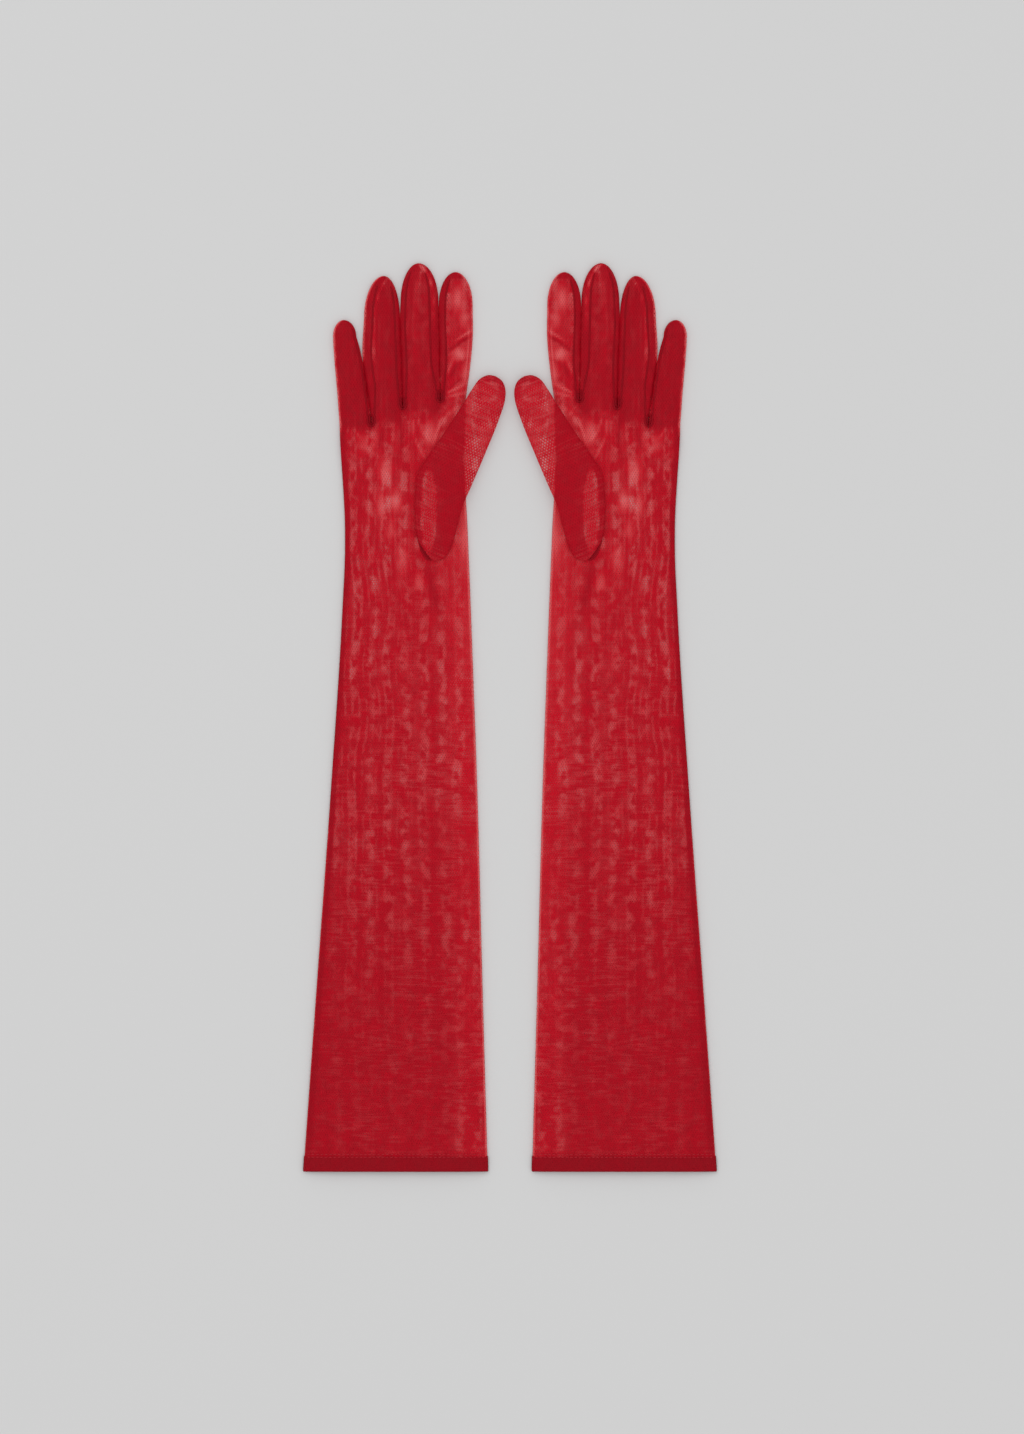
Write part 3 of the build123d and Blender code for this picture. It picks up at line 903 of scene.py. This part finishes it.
def mesh_material(name, dark, light, pitch, holes, closeness,
                  blotch=0, streak=0, grainy=0.15, lengthways=0):
    """Sheer knitted mesh: staggered round-cornered holes between yarns. dark and light are the
    yarn's red in painted shade, where the mesh is closer, and in painted light, where it is
    open. holes is how open a hole is, closeness how little shows between the yarns themselves,
    blotch how much lighter the patches are where the holes of two layers line up, both more
    see-through and with a painted glow, streak how strong the ribs are, with a painted
    highlight along them, grainy how clear the holes are, with a painted glow round them,
    lengthways how far the ribs turn to run along the hand and fingers."""
    finish = Finish(name)
    add, times, less, smooth = finish.add, finish.times, finish.less, finish.smooth
    own, plan = finish.map("UVMap"), finish.map("Plan")
    plan_across, plan_along = finish.split(plan)
    own_across, own_along = finish.split(own)
    across = add(own_across, times(less(finish.noise(own, 38, 16, 2, 3.0), 0.5), 0.0042))
    along = add(own_along, times(less(finish.noise(own, 30, 24, 2, 8.0), 0.5), 0.0036))
    lattice = times(finish.cosine(across, pitch), finish.cosine(along, pitch * 1.75))
    hole = smooth(lattice, 0.12, 0.62)

    # open_and_lit is how open the mesh is, and it also sets how light its yarn is painted.
    open_and_lit = finish.node("ShaderNodeAttribute", {}, attribute_name="open").outputs["Fac"]
    openness = add(open_and_lit, 1.0)
    # shine mixes the yarn towards PALE: a painted glow of light coming through the yarns, where the
    # mesh is open and round its holes.
    shine = smooth(open_and_lit, 0.05, 1.2, 0.0, 0.85)
    shine = add(shine, times(smooth(open_and_lit, -0.25, 0.4), times(hole, grainy)))
    if blotch:
        # Patches in columns, finer wavy lines on the outer side, and puckers near the hem: more
        # see-through, and painted paler as a painted glow of light through the yarns.
        drift = times(less(finish.noise(plan, 16, 13, 1, 21.0), 0.5), 0.016)
        wobble = times(less(finish.noise(plan, 90, 150, 1, 27.0), 0.5), 0.0022)
        place_across = add(plan_across, drift)
        columns = smooth(finish.cosine(place_across, 0.0112), -0.7, 0.9, 0.15, 1.0)
        patches = smooth(finish.noise(plan, 150, 138, 3, 13.0), 0.42, 0.66)
        broad = smooth(finish.noise(plan, 20, 14, 1, 33.0), 0.36, 0.58, 0.5, 1.0)
        big = times(times(columns, patches), broad)
        lines = smooth(finish.cosine(add(place_across, wobble), 0.0045), 0.0, 1.0)
        broken = smooth(finish.noise(plan, 170, 105, 2, 55.0), 0.42, 0.60)
        outside = smooth(times(plan_across, -1.0), -0.012, 0.026, 0.3, 1.0)
        fine = times(times(lines, broken), outside)
        puckers = smooth(finish.noise(plan, 95, 165, 2, 71.0), 0.53, 0.70)
        near_hem = smooth(plan_along, -0.20, -0.04, 0.6, 0.12)
        spots = add(big, add(times(fine, 0.38), times(puckers, near_hem)))
        lively = smooth(plan_along, -0.27, 0.10, 0.46, 1.0)
        closed = smooth(open_and_lit, -0.40, -0.12, 0.06, 1.0)
        spots = times(times(spots, lively), closed)
        openness = add(openness, times(spots, blotch))
        # Long streaks down the folds: the mesh more or less see-through, and its yarn painted paler
        # and darker as painted light and shade of the folds.
        folds = less(finish.noise(plan, 105, 5, 2, 83.0), 0.5)
        folds = times(times(folds, closed), 0.55 * blotch)
        openness = add(openness, folds)
        shine = add(shine, times(spots, 0.30 * blotch))
        shine = add(shine, times(folds, 0.30))
    if streak:
        # Ribs: the mesh more see-through, with a painted highlight along them and painted shade
        # between.
        ribs = times(less(finish.noise(own, 95, 640, 2, 61.0), 0.5), 3.0)
        if lengthways:
            turn = smooth(plan_along, -0.04, 0.14, 0.0, lengthways)
            strands = times(less(finish.noise(own, 560, 48, 2, 66.0), 0.5), 3.0)
            ribs = add(times(ribs, less(1.0, turn)), times(strands, turn))
        where = smooth(finish.noise(own, 40, 26, 1, 44.0), 0.40, 0.60, 0.25, 1.0)
        where = times(where, smooth(open_and_lit, -0.48, -0.15, 0.4, 1.0))
        openness = add(openness, times(times(ribs, where), streak))
        shine = add(shine, times(times(ribs, where), 0.28 * streak))
    openness = finish.maths("MAXIMUM", openness, 0.25)
    clear = add(times(openness, 1 - closeness), times(times(hole, holes), openness))
    finish.shade(Alpha=less(1.0, finish.maths("MINIMUM", clear, 0.96)))

    # The yarn is painted darker where the mesh is closer and lighter where it is open: painted
    # shade and light for the shade its layers would cast on each other. tone varies it at random.
    tone = finish.noise(own, 260, 190, 3, 5.0)
    lightness = add(times(open_and_lit, 1.15), times(less(tone, 0.5), 0.8))
    yarn = finish.mix(dark, light, finish.maths("ADD", lightness, 0.66, clamp=True))
    glow = finish.mix(yarn, PALE, finish.maths("ADD", shine, 0.0, clamp=True))
    finish.shade(Base_Color=glow, Roughness=smooth(tone, 0.3, 0.7, 0.48, 0.68))
    finish.bump(less(1.0, lattice), 0.35, 0.00025)
    finish.shade(Specular_IOR_Level=0.08)
    finish.shade(Sheen_Weight=0.02, Sheen_Roughness=0.4, Sheen_Tint=(1.0, 0.45, 0.45, 1))
    return finish.material


def thread_material(name, dark, light):
    """Twisted polyester thread: slanting plies, a little satin."""
    finish = Finish(name)
    inputs = {"Vector": finish.map("UVMap"), "Scale": 1100, "Distortion": 1.2}
    plies = finish.node("ShaderNodeTexWave", inputs, bands_direction="DIAGONAL").outputs["Fac"]
    finish.shade(Base_Color=finish.mix(dark, light, plies), Roughness=0.45, Specular_IOR_Level=0.4)
    finish.bump(plies, 0.5, 0.0001)
    return finish.material


# The darker and lighter red of each mesh are its yarn in painted shade, where the mesh is closer,
# and in painted light, where it is open. DEEP_LIGHT is also the darker ply of the thread.
RED_DARK = (0.35, 0.001, 0.009, 1)
RED_LIGHT = (0.57, 0.002, 0.014, 1)
THUMB_DARK = (0.39, 0.001, 0.010, 1)
DEEP_DARK = (0.27, 0.001, 0.007, 1)
DEEP_LIGHT = (0.40, 0.002, 0.010, 1)
HEM_LIGHT = (0.35, 0.002, 0.010, 1)
SEAM_DARK = (0.21, 0.001, 0.006, 1)
SEAM_LIGHT = (0.33, 0.001, 0.009, 1)
PALE = (0.80, 0.118, 0.125, 1)  # the yarns where light comes through them
MESH = mesh_material(
    "red_mesh", RED_DARK, RED_LIGHT, 0.0016, 0.28, 0.97, 1.6, 0.65, lengthways=0.85)
THUMB_MESH = mesh_material(
    "red_mesh_thumb", THUMB_DARK, RED_LIGHT, 0.0018, 0.36, 0.96, 1.5, 1.5, 0.8)
FOURCHETTE_MESH = mesh_material("red_mesh_fourchette", DEEP_DARK, DEEP_LIGHT, 0.0014, 0.2, 0.97)
HEM_MESH = mesh_material("red_mesh_hem", DEEP_DARK, HEM_LIGHT, 0.0015, 0.2, 0.98)
SEAM_MESH = mesh_material("red_mesh_seam", SEAM_DARK, SEAM_LIGHT, 0.0013, 0.15, 0.99)
THREAD = thread_material("red_thread", DEEP_LIGHT, (0.62, 0.008, 0.028, 1))


# ---------------------------------------------------------------- building

def dress(piece, material, slot, *nodes):
    """Material and the CAD nodes that a piece stands for; slot is not used."""
    piece.data.materials.append(material)
    if nodes:
        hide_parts(*nodes)
    return piece


def side_strip(label, side, rows, near=0.5, far=3.6, finger=None):
    """A seam allowance lying inside the tube along its little-finger side, or a finger's."""
    grid = []
    for y in rows:
        outer = finger_span(FINGERS[finger], y)[0] if finger else curve(OUTER_EDGE, y)
        row = []
        for step in range(7):
            t = step / 3 - 1
            u = outer + near + (far - near) * abs(t)
            z = SIDE_Z + t * (0.25 + 0.25 * abs(t)) + 0.25 * noise_at(u, y, 30, 5, 1.0)
            row.append(((u, y, z), ((t + 1) * (far - near), y), 0.0))
        grid.append(row)
    return grid_piece(label, side, grid)


def stitches(side, y, pitch, length):
    """Paths of one row of stitches round the hem, on palm and back."""
    outer, inner = edges_at(y)
    outer += 1.2
    inner -= 1.2
    paths = []
    count = int((inner - outer) / pitch)
    for i in range(count):
        start = outer + (i + 0.15) * (inner - outer) / count
        for height, lift in ((palm_height, 0.38), (back_height, -0.12)):
            path = []
            for k in range(4):
                u = start + length * k / 3
                r = 2 * (u - outer) / (inner - outer) - 1
                arch = 0.12 * sin(pi * k / 3)
                z = height(u, y, r) + lift + (arch if lift > 0 else -arch * 0.3)
                path.append((u, y, max(z, 0.2)))
            paths.append(path)
    return paths


def build_hem(side):
    """The hem: the sleeve's end folded to the inside, as one band of two layers."""
    grid = []
    turn = HEM_Y + HEM_DEPTH
    profile = [(turn, 0.30), (HEM_Y + 6, 0.34), (HEM_Y + 3, 0.34), (HEM_Y + 0.7, 0.3),
               (HEM_Y + 0.08, 0.0), (HEM_Y + 0.7, -0.3), (HEM_Y + 3, -0.36),
               (HEM_Y + 6, -0.36), (turn + 0.5, -0.38)]
    travelled = 0.0
    for i, (y, offset) in enumerate(profile):
        if i:
            travelled += abs(y - profile[i - 1][0]) + 0.1
        outer, inner = edges_at(y)
        row = []
        for u, r, back in round_tube(outer, inner):
            if back:
                z = max(back_height(u, y, r) - min(offset, 0.15) * bump(r, 6), 0.12)
            else:
                z = palm_height(u, y, r) + offset * bump(r, 6)
            map_place = (2 * inner - u if back else u, travelled)
            row.append(((u - offset * r**7, y, z), map_place, -0.1))
        row.append((row[0][0], (2 * inner - outer, travelled), -0.1))
        grid.append(row)
    return grid_piece("hem_band", side, grid, closed=True)


def flat_size(low, high, width_at, count):
    """Flat width and length of a stretch of cloth, and its area, in metres."""
    widths = [width_at(place_along) for place_along in np.linspace(low, high, count)]
    return max(widths) * MM, (high - low) * MM, float(np.mean(widths)) * (high - low) * MM * MM


def round_arm(y):
    """How wide the trank's cloth is at y, palm and back together."""
    outer, inner = edges_at(y)
    return 2 * (inner - outer)


def over_thumb(along):
    """How wide the thumb is at a distance along it."""
    return side_curve(THUMB_RIGHT, along) - side_curve(THUMB_LEFT, along)


def build_stretch(side, part, cloth_name, low, high):
    """A stretch of sleeve with its seam allowance, left to be given a body."""
    rows = arm_rows(low, high, pitch=SLEEVE_ROW)
    cloth = arm_tube(cloth_name, side, rows)
    dress(cloth, MESH, "glove_mesh", f"{side}_{part}_sleeve")
    seam = side_strip(f"{part}_seam_allowance", side, rows)
    dress(seam, SEAM_MESH, "seam_thread", f"{side}_{part}_side_seam")
    width, length, area = flat_size(low, high, round_arm, 30)
    return cloth, seam


def build_sleeves(side):
    """Hem, upper sleeve and forearm of one glove."""
    upper_body = f"{side}_upper_body"
    stitch_y = HEM_Y + HEM_DEPTH
    hem = dress(build_hem(side), HEM_MESH, "hem_mesh", f"{side}_cuff_hem")
    paths = stitches(side, stitch_y - 0.2, 2.7, 2.1) + stitches(side, stitch_y + 1.6, 2.7, 2.1)
    sewing = rope_piece("hem_sewing", side, paths, 0.42, 0.34, sides=6)
    dress(sewing, THREAD, "seam_thread", f"{side}_hem_stitching")
    upper, seam = build_stretch(side, "upper", "upper_sleeve_cloth", stitch_y, ELBOW_Y)
    for piece in (hem, sewing, upper, seam):
        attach(piece, upper_body)
    flat = (round_arm(HEM_Y) * MM, 2 * HEM_DEPTH * MM)
    for piece in build_stretch(side, "forearm", "forearm_cloth", ELBOW_Y, WRIST_Y):
        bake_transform(piece)


def below_roots(u, y):
    """True for the hand's part of the grid, which ends at each finger's root."""
    return y < ROOTS[band_of(u)[0]]


def build_hand(side):
    """The hand's part of the trank, its seam and the crotches between the fingers."""
    rows = arm_rows(WRIST_Y, 185.0, list(ROOTS.values()) + [187.0, 191.6, 196.6])
    hand = arm_tube("hand_cloth", side, rows, keep=below_roots)
    cut_hole(hand, side, palm_only=True)
    dress(hand, MESH, "glove_mesh", f"{side}_hand_trank")
    seam = side_strip("hand_seam_allowance", side, arm_rows(WRIST_Y, 184.0))
    dress(seam, SEAM_MESH, "seam_thread", f"{side}_hand_side_seam")
    for piece in (hand, seam):
        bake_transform(piece)
    width, length, area = flat_size(WRIST_Y, 191.0, round_arm, 30)
    length = (199.0 - WRIST_Y) * MM
    for label, (_, finger, _, _) in CROTCHES.items():
        paths = [crotch_path(label), crotch_path(label, 1.2, 0.1)]
        ridge = rope_piece(f"{label}_ridge", side, paths, 1.3, 0.8)
        dress(ridge, SEAM_MESH, "fourchette_mesh", f"{side}_{label}")
        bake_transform(ridge)


def cut_hole(piece, side, palm_only):
    """Cuts the thumb's oval out of a sheet, or only out of its upper layer."""
    bm = bmesh.new()
    bm.from_mesh(piece.data)
    sign = 1 if side == "right" else -1
    doomed = []
    for vert in bm.verts:
        u = sign * vert.co.x / MM + GLOVE_CENTRE
        y = vert.co.y / MM
        if palm_only and vert.co.z / MM < 2.6:
            continue
        u, y = THUMB_HOLE.snap(u, y)
        vert.co.x = sign * (u - GLOVE_CENTRE) * MM
        vert.co.y = y * MM
    for face in bm.faces:
        centre = face.calc_center_median()
        if palm_only and centre.z / MM < 2.6:
            continue
        if THUMB_HOLE.inside(sign * centre.x / MM + GLOVE_CENTRE, centre.y / MM):
            doomed.append(face)
    bmesh.ops.delete(bm, geom=doomed, context="FACES")
    bm.to_mesh(piece.data)
    bm.free()


def build_finger(side, name):
    """One finger: two panels, its fourchettes and their seams."""
    pieces = []
    for layer in ("palm", "back"):
        cloth = finger_layer(name, side, layer)
        dress(cloth, MESH, "glove_mesh", f"{side}_{name}_{layer}_panel")
        pieces.append(cloth)
    ridges = []
    for label, (finger, edge, inset, reach) in FOURCHETTES.items():
        if finger != name:
            continue
        strip = fourchette_piece(label, side)
        dress(strip, FOURCHETTE_MESH, "fourchette_mesh", f"{side}_{label}")
        pieces.append(strip)
        path = seam_path(name, edge, inset)
        ridge = rope_piece(f"{label}_seam", side, [path], 1.0, 0.55)
        dress(ridge, SEAM_MESH, "fourchette_mesh")
        ridges.append(ridge)
    if name == "little":
        rows = [y for y in finger_rows(name) if y < FINGERS[name]["tip"][1] - 8]
        seam = side_strip("little_seam_allowance", side, rows, 1.2, 4.2, finger=name)
        dress(seam, SEAM_MESH, "seam_thread", f"{side}_little_side_seam")
        ridges.append(seam)
    for piece in pieces + ridges:
        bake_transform(piece)


def build_thumb(side):
    """The thumb's base on the palm, its free part, and the sewing round its hole."""
    base_top = thumb_layer("thumb_base_cloth", side, "palm", THUMB_BASE, THUMB_TURN)
    base_under = thumb_layer("thumb_base_under_cloth", side, "under", THUMB_BASE, THUMB_TURN)
    cut_hole(base_under, side, palm_only=False)
    width, length, area = flat_size(THUMB_BASE, THUMB_TURN, over_thumb, 40)
    for piece, cut in ((base_top, 0.0), (base_under, HOLE_AREA)):
        dress(piece, THUMB_MESH, "thumb_mesh", f"{side}_thumb_base")
        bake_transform(piece)
    top = thumb_layer("thumb_sheath_cloth", side, "palm", THUMB_TURN, THUMB_TIP)
    under = thumb_layer("thumb_sheath_under_cloth", side, "under", THUMB_TURN, THUMB_TIP)
    width, length, area = flat_size(THUMB_TURN, THUMB_TIP, over_thumb, 40)
    for piece in (top, under):
        dress(piece, THUMB_MESH, "thumb_mesh", f"{side}_thumb_sheath")
        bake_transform(piece)
    paths = []
    for grow, drop in ((0.9, 0.35), (2.0, 0.5)):
        path = []
        for step in range(61):
            a = 2 * pi * step / 60
            u, y = THUMB_HOLE.point(a, grow)
            path.append((u, y, palm_height(u, y, on_hand(u, y)) + drop))
        paths.append(path)
    seam = rope_piece("thumb_hole_sewing", side, paths, 1.2, 0.5)
    dress(seam, SEAM_MESH, "seam_thread", f"{side}_thumb_hole_seam")
    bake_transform(seam)


def lit_through(*names):
    """Lets lamps through the named cloths of both gloves, whose yarns are very fine."""
    for piece in bpy.data.objects:
        if piece.name.endswith(names):
            piece.visible_shadow = False


for glove in ("right", "left"):
    build_sleeves(glove)
    build_hand(glove)
    for finger_name in FINGERS:
        build_finger(glove, finger_name)
    build_thumb(glove)

lit_through("_palm_cloth", "_back_cloth", "upper_sleeve_cloth", "forearm_cloth", "hand_cloth",
            "base_cloth", "under_cloth", "sheath_cloth", "_fourchette_cloth", "_side_cloth")

# ---------------------------------------------------------------- stage, light and camera

scene = bpy.context.scene
floor_mesh = bpy.data.meshes.new("floor")
FLOOR_HALF = 6  # metres
corners = [(x * FLOOR_HALF, y * FLOOR_HALF, 0) for x, y in ((-1, -1), (1, -1), (1, 1), (-1, 1))]
floor_mesh.from_pydata(corners, [], [(0, 1, 2, 3)])
floor = bpy.data.objects.new("floor", floor_mesh)
scene.collection.objects.link(floor)
paint = Finish("pale_floor")
paint.shade(Base_Color=(0.70, 0.70, 0.70, 1), Roughness=0.9, Specular_IOR_Level=0.1)
floor_mesh.materials.append(paint.material)

world = bpy.data.worlds.new("studio")
scene.world = world
world.use_nodes = True
world.node_tree.nodes["Background"].inputs["Color"].default_value = (1, 1, 1, 1)
world.node_tree.nodes["Background"].inputs["Strength"].default_value = 0.68


def softbox(name, location, size, power):
    """A square area light that points at the middle of the pair."""
    light = bpy.data.lights.new(name, "AREA")
    light.size = size
    light.energy = power
    lamp = bpy.data.objects.new(name, light)
    lamp.location = location
    lamp.rotation_euler = (-Vector(location)).to_track_quat("-Z", "Y").to_euler()
    scene.collection.objects.link(lamp)


softbox("key", (-1.2, 0.9, 2.8), 2.2, 19)
softbox("fill", (1.2, -0.9, 2.8), 2.6, 12)

FRAME_HEIGHT = 0.9034
LENS = 200.0
SENSOR = 36.0
camera_data = bpy.data.cameras.new("camera")
camera_data.lens = LENS
camera_data.sensor_width = SENSOR
camera_data.clip_end = 50
camera = bpy.data.objects.new("camera", camera_data)
camera.location = (0.0013, 0.0003, FRAME_HEIGHT * LENS / SENSOR + 0.004)
scene.collection.objects.link(camera)
scene.camera = camera
scene.view_settings.view_transform = "Standard"
scene.cycles.transparent_max_bounces = 32

bpy.context.view_layer.update()
